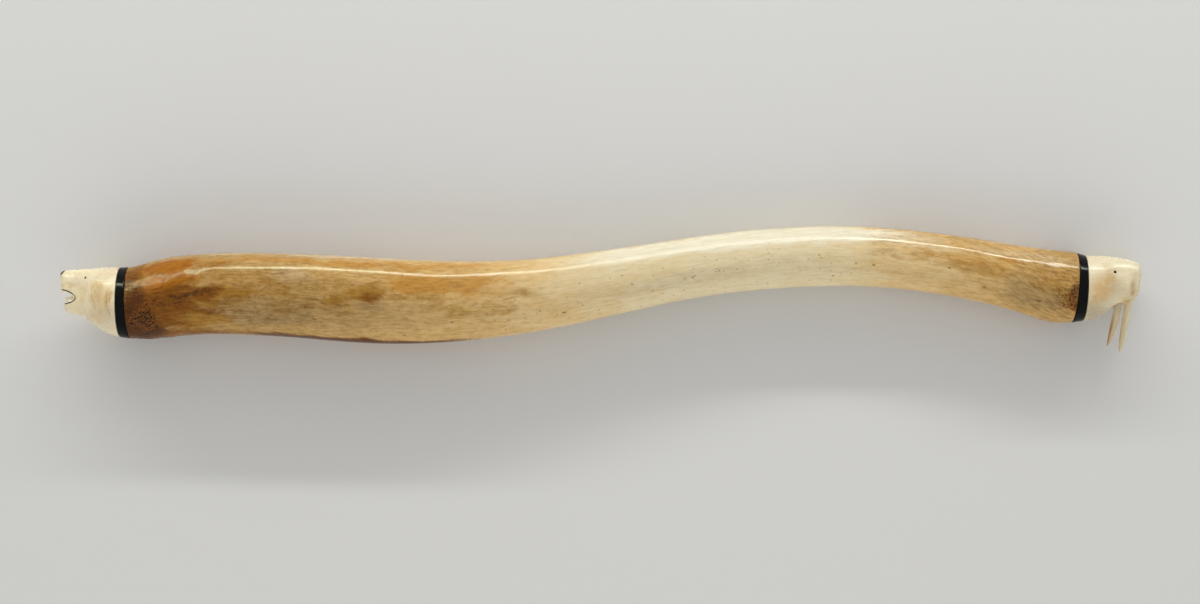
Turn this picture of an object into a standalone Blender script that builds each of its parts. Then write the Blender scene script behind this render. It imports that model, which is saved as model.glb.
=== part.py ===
"""Carved oosik: a polished fossil walrus baculum that lies on its flank, with a bear's head on the thick end
and a walrus's head on the thin end, each set on through a collar of black baleen.

Frame: metres, +Z up, origin on the table under the middle of the bounding box. +X runs from the bear's nose
to the walrus's muzzle, +Y is the back of both animals, and the carved flank that shows faces +Z.
Every size below is in millimetres. MM turns it into metres where a mesh is made.
"""

import math

import bmesh
import bpy
import numpy as np
from mathutils import Vector
from mathutils.bvhtree import BVHTree

MM = 0.001
JOINT_GAP = 0.3  # clearance between two pieces that meet

# Where one piece ends and the next begins, along X.
NOSE_X = -304.0
BEAR_NECK_X = -271.3
BONE_THICK_X = -266.3
BONE_THIN_X = 268.1
WALRUS_NECK_X = 273.4
MUZZLE_X = 304.5

# The whole work is one body that tapers and curves. Each of these is a smooth curve through (x, value).
BACK = (
    (NOSE_X, 10.7), (-290.0, 11.7), (-276.0, 12.6), (-266.0, 12.8), (-258.0, 14.4), (-249.0, 17.3),
    (-238.0, 19.5), (-220.0, 21.2), (-198.0, 21.3), (-170.0, 20.8), (-136.0, 19.0), (-98.0, 16.7),
    (-64.0, 16.4), (-34.0, 18.1), (0.0, 22.2), (45.0, 28.8), (90.0, 34.0), (135.0, 35.7),
    (170.0, 34.2), (204.0, 30.5), (238.0, 24.9), (258.0, 22.2), (268.0, 20.9), (WALRUS_NECK_X, 19.5),
    (283.0, 19.1), (293.0, 17.8), (300.0, 16.0), (MUZZLE_X, 13.9),
)
BELLY = (
    (NOSE_X, -13.0), (-300.0, -14.1), (-296.0, -14.3), (-293.0, -15.6), (-286.5, -20.3), (-280.0, -24.3),
    (-272.0, -26.9), (-264.0, -28.0), (-252.0, -28.0), (-238.0, -26.0), (-220.0, -24.9), (-198.0, -25.3),
    (-170.0, -27.0), (-141.0, -29.5), (-113.0, -30.4), (-85.0, -29.4), (-56.0, -26.5), (-28.0, -22.1),
    (0.0, -16.1), (42.0, -7.0), (85.0, -0.6), (113.0, 1.6), (142.0, 2.1), (170.0, 0.1),
    (204.0, -5.0), (230.0, -11.0), (248.0, -16.6), (259.0, -19.7), (265.0, -19.3), (WALRUS_NECK_X, -18.0),
    (279.5, -17.0), (286.0, -13.0), (290.5, -10.1), (295.0, -9.0), (299.0, -8.6), (301.4, -7.7),
    (303.4, -6.3), (MUZZLE_X, -4.8),
)
HALF_DEPTH = (
    (NOSE_X, 6.6), (-300.0, 7.1), (-296.0, 8.0), (-291.0, 10.4), (-285.0, 13.6), (-278.0, 16.2),
    (-271.0, 17.7), (-262.0, 18.9), (-240.0, 20.4), (-205.0, 21.1), (-165.0, 21.3), (-115.0, 20.6),
    (-60.0, 18.8), (0.0, 17.0), (60.0, 15.9), (120.0, 15.5), (180.0, 15.6), (230.0, 16.6),
    (256.0, 17.6), (268.0, 17.2), (WALRUS_NECK_X, 16.5), (281.0, 15.3), (288.0, 13.2), (293.0, 12.3),
    (298.0, 12.2), (MUZZLE_X, 11.0),
)
# Height of the hidden flank over the table. It dips just under zero where the work rests.
UNDERSIDE = (
    (NOSE_X, 15.0), (-291.0, 10.6), (-280.0, 6.0), (-268.0, 3.3), (-240.0, 1.0), (-190.0, -0.35),
    (-160.0, -0.35), (-110.0, 0.7), (-40.0, 2.2), (40.0, 1.6), (130.0, -0.35), (190.0, 0.9),
    (252.0, -0.35), (266.0, 0.2), (WALRUS_NECK_X, 1.0), (286.0, 3.6), (MUZZLE_X, 5.2),
)
# Exponent of the superellipse section: 2 is an oval, and more is squarer.
SQUARENESS = (
    (NOSE_X, 2.7), (-293.0, 2.5), (-272.0, 2.0), (-200.0, 2.1), (0.0, 2.05), (250.0, 2.05),
    (280.0, 2.2), (294.0, 2.7), (MUZZLE_X, 3.0),
)
# Lean of a section in plan: how far X moves for each millimetre up the Y axis.
LEAN = (
    (NOSE_X, -0.11), (-290.0, -0.05), (BEAR_NECK_X, 0.0), (BONE_THICK_X, -0.03), (-235.0, 0.0),
    (235.0, 0.0), (BONE_THIN_X, 0.074), (WALRUS_NECK_X, 0.035), (290.0, 0.04), (MUZZLE_X, 0.095),
)
# How much wider a section is towards its back than towards its belly.
EGG = (
    (NOSE_X, 0.10), (-290.0, 0.04), (-272.0, 0.0), (272.0, 0.0), (286.0, -0.05), (MUZZLE_X, 0.05),
)
# The walrus's muzzle is rolled about X, so that its mouth turns a little towards the top flank.
ROLL = ((NOSE_X, 0.0), (274.0, 0.0), (284.0, 0.07), (294.0, 0.17), (MUZZLE_X, 0.17))
# Three blunt ridges run down the thick end of the bone and fade out along it.
RIDGE_HEIGHT = ((NOSE_X, 0.0), (-268.0, 0.0), (-235.0, 0.5), (-150.0, 0.55), (-20.0, 0.2), (60.0, 0.0),
                (MUZZLE_X, 0.0))
RIDGE_TURN = math.radians(205.0)

NOSE_ROUND = (3.6, 2.2, 3.8)  # depth of the rounding, and what it takes off the height and the half depth
MUZZLE_ROUND = (2.4, 1.0, 2.8)
BONE_EDGE = 0.8  # rounded edge at both ends of the bone

SECTION_SIDES = 32
BONE_RINGS = 62
HEAD_RINGS = 15
CAP_RINGS = (0.72, 0.42, 0.18)  # rings inside a muzzle's flat front, as shares of its outline

# The bear's open mouth: a notch sawn through the muzzle, smooth through these points in plan.
MOUTH_OUTLINE = (
    (-309.0, -1.4), (-303.0, -1.6), (-298.9, -2.3), (-296.7, -4.6), (-298.6, -6.8), (-303.0, -8.0),
    (-309.0, -8.8),
)
TONGUE_AT = (-298.9, -6.0)
TONGUE_RADII = (2.9, 2.2, 5.4)
CANINE_ROOT = (-301.2, -8.4)
CANINE_TIP = (-302.4, -4.6)
CANINE_RADII = (1.05, 0.55)
CANINE_OFF_CENTRE = 3.3

BEAR_EYE = (-289.4, 6.7, 0.65)  # x, y and radius
WALRUS_EYE = (289.3, 9.9, 0.85)
EYE_LENGTH = 2.4
EYE_PROUD = 0.15

# A ball of baleen let into the top corner of the bear's muzzle and dressed flush with it.
BEAR_NOSE_AT = (-304.9, 9.7)
BEAR_NOSE_RADII = (2.9, 2.1, 6.2)
BEAR_NOSE_TURN = math.radians(38.0)

# Each tusk is an arc through three points (x, y, z), from the root inside the muzzle to the tip, then its
# radius, and how blunt it is: 2 is pointed and more is blunter.
NEAR_TUSK = ((293.4, -4.0, 20.6), (290.3, -18.0, 22.4), (285.9, -32.0, 22.8), 2.45, 2.2)
FAR_TUSK = ((300.7, -4.4, 11.0), (298.7, -19.5, 9.6), (295.7, -35.7, 9.6), 2.3, 4.5)
TUSK_RINGS = 14
# The brown hollow of the walrus's mouth, between the roots of the tusks.
WALRUS_MOUTH_AT = (297.4, -8.6)
WALRUS_MOUTH_RADII = (3.0, 1.9, 4.6)

# The groove down the front between the walrus's whisker pads: points (x, y) of the rod that cuts it.
PHILTRUM = ((300.0, 19.6), (304.2, 17.3), (306.2, 13.0), (305.8, 5.0), (304.9, -3.0), (301.4, -8.6))
PHILTRUM_RADIUS = 1.5

COLOURS = {
    "fossil_bone": ((0.52, 0.36, 0.17), 0.22),
    "ivory": ((0.82, 0.72, 0.50), 0.25),
    "tusk_ivory": ((0.72, 0.62, 0.42), 0.28),
    "baleen": ((0.012, 0.011, 0.011), 0.2),
}


def smooth(points, x):
    """The value at x of the smooth curve through the points. It stays level between equal values."""
    xs, values = np.array(points).T
    slopes = np.gradient(values, xs)
    level = np.diff(values) == 0
    slopes[:-1][level] = 0.0
    slopes[1:][level] = 0.0
    i = int(np.clip(np.searchsorted(xs, x) - 1, 0, len(xs) - 2))
    width = xs[i + 1] - xs[i]
    t = min(max((x - xs[i]) / width, 0.0), 1.0)
    start = values[i] * (1 + 2 * t) + slopes[i] * width * t
    end = values[i + 1] * (3 - 2 * t) - slopes[i + 1] * width * (1 - t)
    return float(start * (1 - t) ** 2 + end * t * t)


def rounded(distance, depth):
    """How far a quarter-round edge has drawn in, from 0 to 1, at a distance from the end face."""
    return 1 - math.sqrt(1 - min(max(1 - distance / depth, 0.0), 1.0) ** 2)


def end_rounding(x):
    """What the rounded muzzles and the bone's edges take off a section's half height and half depth."""
    drop_height = drop_depth = 0.0
    for front, (depth, off_height, off_depth) in ((NOSE_X, NOSE_ROUND), (MUZZLE_X, MUZZLE_ROUND)):
        share = rounded(abs(x - front), depth)
        drop_height += off_height * share
        drop_depth += off_depth * share
    return drop_height, drop_depth


def section(x, inset=0.0, share=1.0):
    """The closed ring of points, in millimetres, where the body is cut at x."""
    drop_height, drop_depth = end_rounding(x)
    back, belly = smooth(BACK, x), smooth(BELLY, x)
    half_depth = smooth(HALF_DEPTH, x)
    middle_y = (back + belly) / 2
    middle_z = smooth(UNDERSIDE, x) + half_depth
    radius_y = (back - belly) / 2 - drop_height - inset
    radius_z = half_depth - drop_depth - inset
    power = 2 / smooth(SQUARENESS, x)
    roll = smooth(ROLL, x)
    ring = []
    for side in range(SECTION_SIDES):
        turn = 2 * math.pi * side / SECTION_SIDES
        ridge = 1 + smooth(RIDGE_HEIGHT, x) / radius_y * math.cos(3 * turn + RIDGE_TURN)
        up = math.copysign(abs(math.cos(turn)) ** power, math.cos(turn)) * ridge * share
        out = math.copysign(abs(math.sin(turn)) ** power, math.sin(turn)) * ridge * share
        away_y, away_z = up * radius_y, out * (1 + smooth(EGG, x) * up) * radius_z
        away_y, away_z = (
            away_y * math.cos(roll) + away_z * math.sin(roll),
            away_z * math.cos(roll) - away_y * math.sin(roll),
        )
        ring.append((x + smooth(LEAN, x) * away_y, middle_y + away_y, middle_z + away_z))
    return ring


def loft(name, rings):
    """A closed mesh object with these rings for its skin. Both ends are filled flat."""
    mesh = bmesh.new()
    made = [[mesh.verts.new(Vector(point) * MM) for point in ring] for ring in rings]
    for first, second in zip(made, made[1:]):
        for side in range(SECTION_SIDES):
            following = (side + 1) % SECTION_SIDES
            mesh.faces.new((first[side], first[following], second[following], second[side]))
    mesh.faces.new(reversed(made[0]))
    mesh.faces.new(made[-1])
    bmesh.ops.recalc_face_normals(mesh, faces=mesh.faces)
    return new_object(name, mesh)


def new_object(name, mesh):
    """An object in the work's collection that holds the bmesh, which is freed."""
    data = bpy.data.meshes.new(name)
    mesh.to_mesh(data)
    mesh.free()
    made = bpy.data.objects.new(name, data)
    bpy.data.collections["carved_oosik"].objects.link(made)
    return made


def evenly(first, last, count):
    """That many places from first to last, closer together towards both ends."""
    for i in range(count):
        yield first + (last - first) * (1 - math.cos(math.pi * i / (count - 1))) / 2


def make_bone():
    """The baculum, with a rounded edge at both ends and a small flat wherever it touches the table."""
    first, last = BONE_THICK_X, BONE_THIN_X
    edge = [(first, BONE_EDGE), (first + 0.25 * BONE_EDGE, 0.34 * BONE_EDGE)]
    rings = [section(x, inset) for x, inset in edge]
    step = (last - first - 2 * BONE_EDGE) / (BONE_RINGS - 1)
    rings += [section(first + BONE_EDGE + step * i) for i in range(BONE_RINGS)]
    rings += [section(last + first - x, inset) for x, inset in reversed(edge)]
    bone = loft("oosik_bone", rings)
    table = box_cutter("table_cutter", (first - 20, -60, -20), (last + 20, 60, 0))
    cut(bone, table)
    return bone


def make_collar(name, first, last):
    """A slice of baleen between a head and the bone, clear of both by the joint gap."""
    places = (first + JOINT_GAP / 2, (first + last) / 2, last - JOINT_GAP / 2)
    return loft(name, [section(x) for x in places])


def make_head(name, neck, front):
    """A head's plain form, from its flat neck to the rounded front of the muzzle."""
    away = math.copysign(1.0, front - neck)
    places = list(evenly(neck + away * JOINT_GAP / 2, front, HEAD_RINGS))
    rings = [section(x) for x in places] + [section(front, share=share) for share in CAP_RINGS]
    return loft(name, rings)


def as_cutter(made):
    """Moves an object in among the cutters, which aren't part of the work."""
    for collection in list(made.users_collection):
        collection.objects.unlink(made)
    bpy.data.collections["cutters"].objects.link(made)
    made.hide_render = True
    made.display_type = "WIRE"
    return made


def box_cutter(name, low, high):
    """A box from its low corner to its high corner."""
    mesh = bmesh.new()
    bmesh.ops.create_cube(mesh, size=1.0)
    for vert in mesh.verts:
        vert.co = Vector(low[i] if vert.co[i] < 0 else high[i] for i in range(3)) * MM
    return as_cutter(new_object(name, mesh))


def outline_cutter(name, outline, low_z, high_z):
    """A flat outline in plan, drawn as a curve and given thickness from low_z to high_z."""
    curve = bpy.data.curves.new(name, "CURVE")
    curve.dimensions = "2D"
    curve.fill_mode = "BOTH"
    curve.extrude = (high_z - low_z) / 2 * MM
    curve.resolution_u = 4
    spline = curve.splines.new("BEZIER")
    spline.bezier_points.add(len(outline) - 1)
    for point, (x, y) in zip(spline.bezier_points, outline):
        point.co = (x * MM, y * MM, 0.0)
        point.handle_left_type = point.handle_right_type = "AUTO"
    spline.use_cyclic_u = True
    drawn = bpy.data.objects.new(name, curve)
    drawn.location.z = (low_z + high_z) / 2 * MM
    return as_cutter(curve_to_mesh(drawn))


def curve_to_mesh(drawn):
    """The solid that a curve object draws, as a mesh object with its caps welded on."""
    bpy.context.scene.collection.objects.link(drawn)
    bpy.context.view_layer.update()
    graph = bpy.context.evaluated_depsgraph_get()
    data = bpy.data.meshes.new_from_object(drawn.evaluated_get(graph))
    data.transform(drawn.matrix_world)
    name = drawn.name
    bpy.data.objects.remove(drawn)
    mesh = bmesh.new()
    mesh.from_mesh(data)
    bpy.data.meshes.remove(data)
    bmesh.ops.remove_doubles(mesh, verts=mesh.verts, dist=0.00001)
    bmesh.ops.recalc_face_normals(mesh, faces=mesh.faces)
    return new_object(name, mesh)


def ellipsoid(name, centre, radii, turn=0.0, segments=14, rings=8):
    """A ball stretched to its three radii and turned about Z."""
    mesh = bmesh.new()
    bmesh.ops.create_uvsphere(mesh, u_segments=segments, v_segments=rings, radius=1.0)
    for vert in mesh.verts:
        vert.co = Vector(vert.co[i] * radii[i] * MM for i in range(3))
    made = new_object(name, mesh)
    made.rotation_euler.z = turn
    made.location = Vector(centre) * MM
    return made


def cone(name, base, tip, base_radius, tip_radius, segments=12):
    """A cone or a cylinder from the middle of its base to its tip."""
    axis = Vector(tip) - Vector(base)
    mesh = bmesh.new()
    bmesh.ops.create_cone(
        mesh, cap_ends=True, segments=segments,
        radius1=base_radius * MM, radius2=tip_radius * MM, depth=axis.length * MM,
    )
    made = new_object(name, mesh)
    made.rotation_mode = "QUATERNION"
    made.rotation_quaternion = axis.to_track_quat("Z", "Y")
    made.location = (Vector(base) + Vector(tip)) / 2 * MM
    return made


def rod(name, path, radii):
    """A round rod with flat ends through the points of the path, with a radius for each point."""
    curve = bpy.data.curves.new(name, "CURVE")
    curve.dimensions = "3D"
    curve.bevel_depth = MM
    curve.bevel_resolution = 3
    curve.use_fill_caps = True
    spline = curve.splines.new("POLY")
    spline.points.add(len(path) - 1)
    for point, place, radius in zip(spline.points, path, radii):
        point.co = (*(Vector(place) * MM), 1.0)
        point.radius = radius
    return curve_to_mesh(bpy.data.objects.new(name, curve))


def tusk(name, root, middle, tip, radius, bluntness, grow=0.0):
    """A curved tusk that keeps its thickness and then rounds off to its tip, thicker all over by grow."""
    root, middle, tip = Vector(root), Vector(middle), Vector(tip)
    path = []
    radii = []
    for i in range(TUSK_RINGS):
        along = math.sin(math.pi / 2 * i / (TUSK_RINGS - 1))
        bend = 4 * along * (1 - along)
        path.append(root.lerp(tip, along) + (middle - root.lerp(tip, 0.5)) * bend)
        radii.append(radius * math.sqrt(max(1 - along**bluntness, 0.002)) + grow)
    return rod(name, path, radii)


def boolean(body, other, operation):
    """Applies one Boolean to the body at once, so that later steps work on its real surface."""
    modifier = body.modifiers.new(operation.lower(), "BOOLEAN")
    modifier.operation = operation
    modifier.object = other
    bpy.context.view_layer.update()
    graph = bpy.context.evaluated_depsgraph_get()
    data = bpy.data.meshes.new_from_object(body.evaluated_get(graph))
    body.modifiers.clear()
    body.data = data


def cut(body, cutter):
    boolean(body, cutter, "DIFFERENCE")


def join(body, other):
    """Makes the other solid one with the body, and removes it."""
    boolean(body, other, "UNION")
    bpy.data.objects.remove(other)


def surface(body, x, y, side):
    """The point of the body's surface at (x, y) in plan, and the way out of it. Side +1 is the top flank."""
    graph = bpy.context.evaluated_depsgraph_get()
    tree = BVHTree.FromObject(body, graph)
    start = Vector((x, y, side * 100.0)) * MM
    place, normal, _, _ = tree.ray_cast(start, Vector((0, 0, -side)))
    return place / MM, normal


def fit_eye(head, name, x, y, radius, side):
    """Drills an eye socket square to the surface and sets a plug of baleen in it, a little proud."""
    place, normal = surface(head, x, y, side)
    top = place + normal * EYE_PROUD
    bottom = top - normal * EYE_LENGTH
    socket = cone(
        name + "_socket", bottom - normal * JOINT_GAP, top + normal * 2,
        radius + JOINT_GAP, radius + JOINT_GAP,
    )
    cut(head, as_cutter(socket))
    eye = cone(name, bottom, top, radius, radius)
    rim = eye.modifiers.new("rim", "BEVEL")
    rim.width = 0.25 * MM
    return eye


def make_bear_head():
    """The bear: a long muzzle with its mouth open, a tongue and two canines, and an inlaid nose and eyes."""
    head = make_head("bear_head", BEAR_NECK_X, NOSE_X)
    cut(head, outline_cutter("mouth_cutter", MOUTH_OUTLINE, 0.0, 50.0))
    middle_z = smooth(UNDERSIDE, TONGUE_AT[0]) + smooth(HALF_DEPTH, TONGUE_AT[0])
    join(head, ellipsoid("tongue", (*TONGUE_AT, middle_z), TONGUE_RADII))
    for side in (-1, 1):
        z = middle_z + side * CANINE_OFF_CENTRE
        join(head, cone("canine", (*CANINE_ROOT, z), (*CANINE_TIP, z), *CANINE_RADII, segments=10))
    nose_at = (*BEAR_NOSE_AT, middle_z)
    wider = tuple(radius + JOINT_GAP for radius in BEAR_NOSE_RADII)
    nose = ellipsoid("bear_nose", nose_at, BEAR_NOSE_RADII, BEAR_NOSE_TURN)
    boolean(nose, head, "INTERSECT")
    cut(head, as_cutter(ellipsoid("nose_socket", nose_at, wider, BEAR_NOSE_TURN)))
    eyes = [
        fit_eye(head, name, *BEAR_EYE, side)
        for name, side in (("bear_eye_near", 1), ("bear_eye_far", -1))
    ]
    return head, [nose, *eyes]


def make_walrus_head():
    """The walrus: a blunt muzzle with two whisker pads, sockets for the tusks, and inlaid eyes."""
    head = make_head("walrus_head", WALRUS_NECK_X, MUZZLE_X)
    middle_z = smooth(UNDERSIDE, WALRUS_MOUTH_AT[0]) + smooth(HALF_DEPTH, WALRUS_MOUTH_AT[0])
    mouth = ellipsoid("walrus_mouth_cutter", (*WALRUS_MOUTH_AT, middle_z), WALRUS_MOUTH_RADII)
    cut(head, as_cutter(mouth))
    groove = [(x, y, middle_z) for x, y in PHILTRUM]
    cut(head, as_cutter(rod("philtrum_cutter", groove, [PHILTRUM_RADIUS] * len(groove))))
    tusks = []
    for name, form in (("walrus_tusk_near", NEAR_TUSK), ("walrus_tusk_far", FAR_TUSK)):
        cut(head, as_cutter(tusk(name + "_socket", *form, grow=JOINT_GAP)))
        tusks.append(tusk(name, *form))
    eyes = [
        fit_eye(head, name, *WALRUS_EYE, side)
        for name, side in (("walrus_eye_near", 1), ("walrus_eye_far", -1))
    ]
    return head, tusks, eyes


def finish(objects, slot):
    """Gives the objects their material and shades them smooth across their round faces."""
    colour, roughness = COLOURS[slot]
    material = bpy.data.materials.get(slot) or bpy.data.materials.new(slot)
    material.use_nodes = True
    shader = material.node_tree.nodes["Principled BSDF"]
    shader.inputs["Base Color"].default_value = (*colour, 1.0)
    shader.inputs["Roughness"].default_value = roughness
    shader.inputs["Metallic"].default_value = 0.0
    for made in objects:
        made.data.materials.clear()
        made.data.materials.append(material)
        made.data.shade_smooth()
        made.data.set_sharp_from_angle(angle=math.radians(40))


def clear_scene():
    """Removes what the startup scene holds, and makes the two collections."""
    for old in list(bpy.data.objects):
        bpy.data.objects.remove(old)
    for name in ("carved_oosik", "cutters"):
        collection = bpy.data.collections.new(name)
        bpy.context.scene.collection.children.link(collection)


def main():
    clear_scene()
    bone = make_bone()
    collars = [
        make_collar("bear_collar", BEAR_NECK_X, BONE_THICK_X),
        make_collar("walrus_collar", BONE_THIN_X, WALRUS_NECK_X),
    ]
    bear, bear_inlays = make_bear_head()
    walrus, tusks, walrus_eyes = make_walrus_head()
    finish([bone], "fossil_bone")
    finish([bear, walrus], "ivory")
    finish(tusks, "tusk_ivory")
    finish([*collars, *bear_inlays, *walrus_eyes], "baleen")


main()
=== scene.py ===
# Looks for a carved oosik: a polished and stained walrus bone, capped with two ivory heads on baleen collars.
# The bone and the collars are skinned afresh from their CAD solids, and the heads, tusks and eyes are refined
# from theirs. Every stain, pore and inked line is placed in millimetres on the object.
import math

import bmesh
import bpy
import numpy as np
from mathutils import Matrix, Vector
from mathutils.bvhtree import BVHTree
from mathutils.kdtree import KDTree


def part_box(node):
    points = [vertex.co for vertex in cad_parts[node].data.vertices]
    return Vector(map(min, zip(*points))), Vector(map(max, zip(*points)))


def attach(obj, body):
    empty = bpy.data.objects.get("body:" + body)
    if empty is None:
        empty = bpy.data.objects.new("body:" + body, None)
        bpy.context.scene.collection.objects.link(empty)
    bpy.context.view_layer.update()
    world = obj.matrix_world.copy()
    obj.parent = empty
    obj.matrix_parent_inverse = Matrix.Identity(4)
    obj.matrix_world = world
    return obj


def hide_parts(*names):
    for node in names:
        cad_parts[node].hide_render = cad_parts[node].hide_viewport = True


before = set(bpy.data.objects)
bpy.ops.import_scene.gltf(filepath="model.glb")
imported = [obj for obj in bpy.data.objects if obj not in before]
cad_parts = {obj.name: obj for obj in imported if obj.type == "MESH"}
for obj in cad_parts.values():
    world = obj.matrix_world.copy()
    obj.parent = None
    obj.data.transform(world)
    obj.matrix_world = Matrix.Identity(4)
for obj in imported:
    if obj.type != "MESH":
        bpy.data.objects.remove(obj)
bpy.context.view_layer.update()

MM = 0.001
MERGE = 1e-6  # corners of a CAD solid closer than this are one corner
FAR = 1.0  # outside every piece


# -------- fields and small mesh helpers

def ripple(points, wavelength, seed, waves=24):
    """A smooth random field of about unit strength over points, in the points' own unit."""
    random = np.random.default_rng(seed)
    directions = random.normal(size=(waves, 3))
    directions /= np.linalg.norm(directions, axis=1, keepdims=True)
    lengths = wavelength * random.uniform(0.7, 1.4, waves)
    phases = random.uniform(0, 2 * math.pi, waves)
    turns = (points @ directions.T) * (2 * math.pi / lengths) + phases
    return np.sin(turns).sum(axis=1) * math.sqrt(2 / waves)


def step(values, low, high):
    """0 below low, 1 above high, and a smooth rise between them."""
    share = np.clip((values - low) / (high - low), 0, 1)
    return share * share * (3 - 2 * share)


def bell(values, width):
    """1 at 0, falling smoothly to nothing a few widths away."""
    return np.exp(-((values / width) ** 2))


def soften(values, sigma, axis, wrap=False):
    """Gaussian smoothing of a grid along one axis, with sigma in samples."""
    reach = int(3 * sigma) + 1
    offsets = np.arange(-reach, reach + 1)
    weights = np.exp(-0.5 * (offsets / sigma) ** 2)
    weights /= weights.sum()
    pad = [(0, 0)] * values.ndim
    pad[axis] = (reach, reach)
    if wrap:
        padded = np.pad(values, pad, mode="wrap")
    else:
        padded = np.pad(values, pad, mode="reflect", reflect_type="odd")
    count = values.shape[axis]
    total = np.zeros_like(values)
    for start, weight in enumerate(weights):
        total += weight * np.take(padded, range(start, start + count), axis)
    return total


def cad_mesh(node):
    """A CAD node as a bmesh, with the corners that the file splits merged again."""
    mesh = bmesh.new()
    mesh.from_mesh(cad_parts[node].data)
    bmesh.ops.remove_doubles(mesh, verts=mesh.verts, dist=MERGE)
    mesh.normal_update()
    return mesh


def mesh_arrays(mesh):
    """A mesh's points, and the two points of each of its edges."""
    points = np.empty(len(mesh.vertices) * 3)
    mesh.vertices.foreach_get("co", points)
    edges = np.empty(len(mesh.edges) * 2, np.int32)
    mesh.edges.foreach_get("vertices", edges)
    return points.reshape(-1, 3), edges.reshape(-1, 2)


def mesh_normals(mesh):
    normals = np.empty(len(mesh.vertices) * 3)
    mesh.vertices.foreach_get("normal", normals)
    return normals.reshape(-1, 3)


def set_points(mesh, points):
    mesh.vertices.foreach_set("co", points.ravel())
    mesh.update()


def add_mask(mesh, name, values):
    """A point attribute that holds one number."""
    mesh.attributes.new(name, "FLOAT", "POINT").data.foreach_set("value", values.astype(np.float32))


def add_place(mesh, name, values):
    """A point attribute that holds a place in metres."""
    made = mesh.attributes.new(name, "FLOAT_VECTOR", "POINT")
    made.data.foreach_set("vector", values.astype(np.float32).ravel())


def add_piece(name, mesh, material, slot, *nodes):
    """Shows a mesh as a piece that stands for CAD nodes."""
    piece = bpy.data.objects.new(name, mesh)
    bpy.context.scene.collection.objects.link(piece)
    mesh.materials.clear()
    mesh.materials.append(material)
    mesh.polygons.foreach_set("use_smooth", [True] * len(mesh.polygons))
    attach(piece, "root")
    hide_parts(*nodes)


# -------- skins for the bone and the collars

def end_plane(mesh, side):
    """Where a long solid's flat end lies: x = offset + slope * y."""
    facing = [face for face in mesh.faces if face.normal.x * side > 0.95]
    corners = np.array([corner.co for face in facing for corner in face.verts])
    slope, offset = np.polyfit(corners[:, 1], corners[:, 0], 1)
    return offset, slope


# Where the search for a section's middle starts, in y and z. It is inside every section of every long piece.
FIRST_MIDDLE = (0.0, 0.02)


def section_middle(tree, x, y, z):
    """The middle of a solid's section at x, found by looking in from outside."""
    for _ in range(3):
        above = tree.ray_cast(Vector((x, FAR, z)), Vector((0, -1, 0)))[0].y
        below = tree.ray_cast(Vector((x, -FAR, z)), Vector((0, 1, 0)))[0].y
        y = (above + below) / 2
        near = tree.ray_cast(Vector((x, y, FAR)), Vector((0, 0, -1)))[0].z
        far = tree.ray_cast(Vector((x, y, -FAR)), Vector((0, 0, 1)))[0].z
        z = (near + far) / 2
    return y, z


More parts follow.
